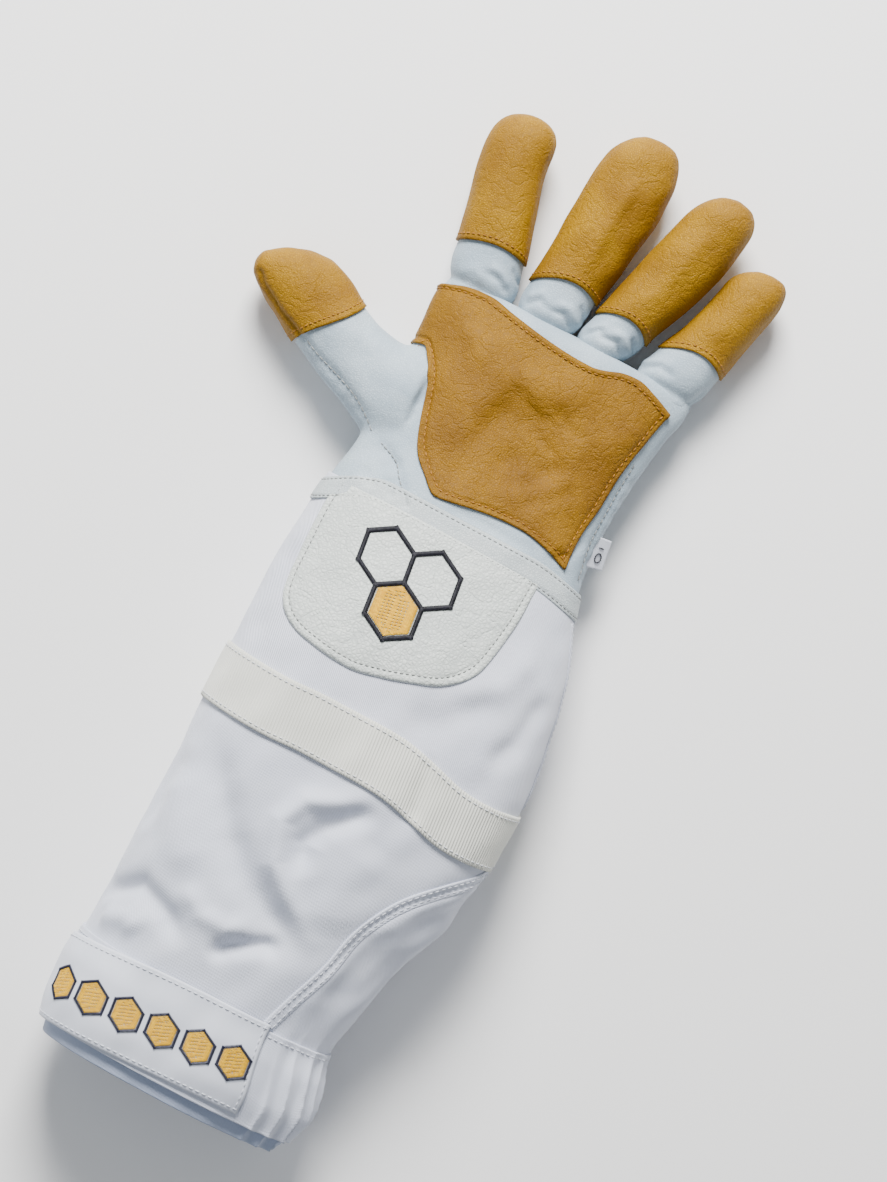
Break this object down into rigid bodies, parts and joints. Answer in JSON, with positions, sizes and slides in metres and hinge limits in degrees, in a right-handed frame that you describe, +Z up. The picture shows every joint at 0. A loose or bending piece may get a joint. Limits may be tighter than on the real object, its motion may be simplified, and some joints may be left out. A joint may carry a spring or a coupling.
{
  "type": "beekeeping glove",
  "caption": "Left-hand beekeeping glove: leather hand with reinforced palm and fingertips, cotton gauntlet with a webbing band, embroidered badge and elastic cuff.",
  "frame": {"origin": "middle of the glove's footprint, on the surface that its back lies on", "axes": "+Z up out of the palm, +Y from the cuff to the fingertips, +X to the little finger's side"},
  "size_m": [0.2373, 0.5099, 0.0795],
  "materials": {
    "white_leather": "matte",
    "gold_leather": "matte",
    "cotton_twill": "matte",
    "cotton_canvas": "matte",
    "webbing": "matte",
    "satin_tape": "satin",
    "elastic": "matte",
    "dark_thread": "satin",
    "gold_thread": "satin"
  },
  "bodies": {
    "sleeve": {"upper_sleeve_front": "cotton_twill", "upper_sleeve_back": "cotton_twill", "lower_sleeve_front": "cotton_canvas", "lower_sleeve_back": "cotton_canvas", "left_side_seam": "cotton_canvas", "right_side_seam": "cotton_canvas", "cuff_casing": "cotton_canvas", "cuff_lining": "cotton_canvas", "cuff_elastic": "elastic", "label_tape": "satin_tape", "webbing_front": "webbing", "webbing_back": "webbing", "badge_patch": "white_leather", "badge_outline_thread": "dark_thread", "badge_fill_thread": "gold_thread"},
    "hand": {"palm_panel": "white_leather", "back_panel": "white_leather", "palm_patch": "gold_leather", "size_tag": "satin_tape", "wrist_elastic": "elastic", "wrist_band_front": "white_leather", "wrist_band_back": "white_leather"},
    "thumb_base": {"thumb_base_front": "white_leather", "thumb_base_back": "white_leather", "thumb_cap_hem": "gold_leather"},
    "thumb_tip": {"thumb_cap_front": "gold_leather", "thumb_cap_back": "gold_leather"},
    "index_base": {"index_base_front": "white_leather", "index_base_back": "white_leather", "index_cap_hem": "gold_leather"},
    "index_tip": {"index_cap_front": "gold_leather", "index_cap_back": "gold_leather"},
    "middle_base": {"middle_base_front": "white_leather", "middle_base_back": "white_leather", "middle_cap_hem": "gold_leather"},
    "middle_tip": {"middle_cap_front": "gold_leather", "middle_cap_back": "gold_leather"},
    "ring_base": {"ring_base_front": "white_leather", "ring_base_back": "white_leather", "ring_cap_hem": "gold_leather"},
    "ring_tip": {"ring_cap_front": "gold_leather", "ring_cap_back": "gold_leather"},
    "little_base": {"little_base_front": "white_leather", "little_base_back": "white_leather", "little_cap_hem": "gold_leather"},
    "little_tip": {"little_cap_front": "gold_leather", "little_cap_back": "gold_leather"}
  },
  "joints": [
    {"name": "wrist_bend", "type": "hinge", "parent": "sleeve", "child": "hand", "pos_m": [0.02975, 0.0319, 0.062], "axis": [1, 0, 0], "range_deg": [0, 40]},
    {"name": "index_knuckle", "type": "hinge", "parent": "hand", "child": "index_base", "pos_m": [0.02975, 0.1515, 0.0304], "axis": [1, 0, 0], "range_deg": [0, 75]},
    {"name": "index_middle_joint", "type": "hinge", "parent": "index_base", "child": "index_tip", "pos_m": [0.02975, 0.1855, 0.0309], "axis": [1, 0, 0], "range_deg": [0, 80]},
    {"name": "middle_knuckle", "type": "hinge", "parent": "hand", "child": "middle_base", "pos_m": [0.02975, 0.1515, 0.0304], "axis": [1, 0, 0], "range_deg": [0, 75]},
    {"name": "middle_middle_joint", "type": "hinge", "parent": "middle_base", "child": "middle_tip", "pos_m": [0.02975, 0.1865, 0.0312], "axis": [1, 0, 0], "range_deg": [0, 80]},
    {"name": "ring_knuckle", "type": "hinge", "parent": "hand", "child": "ring_base", "pos_m": [0.02975, 0.1515, 0.0304], "axis": [1, 0, 0], "range_deg": [0, 75]},
    {"name": "ring_middle_joint", "type": "hinge", "parent": "ring_base", "child": "ring_tip", "pos_m": [0.02975, 0.1845, 0.0315], "axis": [1, 0, 0], "range_deg": [0, 80]},
    {"name": "little_knuckle", "type": "hinge", "parent": "hand", "child": "little_base", "pos_m": [0.02975, 0.1515, 0.0304], "axis": [1, 0, 0], "range_deg": [0, 75]},
    {"name": "little_middle_joint", "type": "hinge", "parent": "little_base", "child": "little_tip", "pos_m": [0.02975, 0.1825, 0.0308], "axis": [1, 0, 0], "range_deg": [0, 80]},
    {"name": "thumb_root", "type": "hinge", "parent": "hand", "child": "thumb_base", "pos_m": [-0.03475, 0.089, 0.0424], "axis": [0, 1, 0], "range_deg": [0, 45]},
    {"name": "thumb_joint", "type": "hinge", "parent": "thumb_base", "child": "thumb_tip", "pos_m": [-0.0814, 0.11368, 0.0336], "axis": [0.6712, 0.7413, 0], "range_deg": [0, 55]}
  ]
}
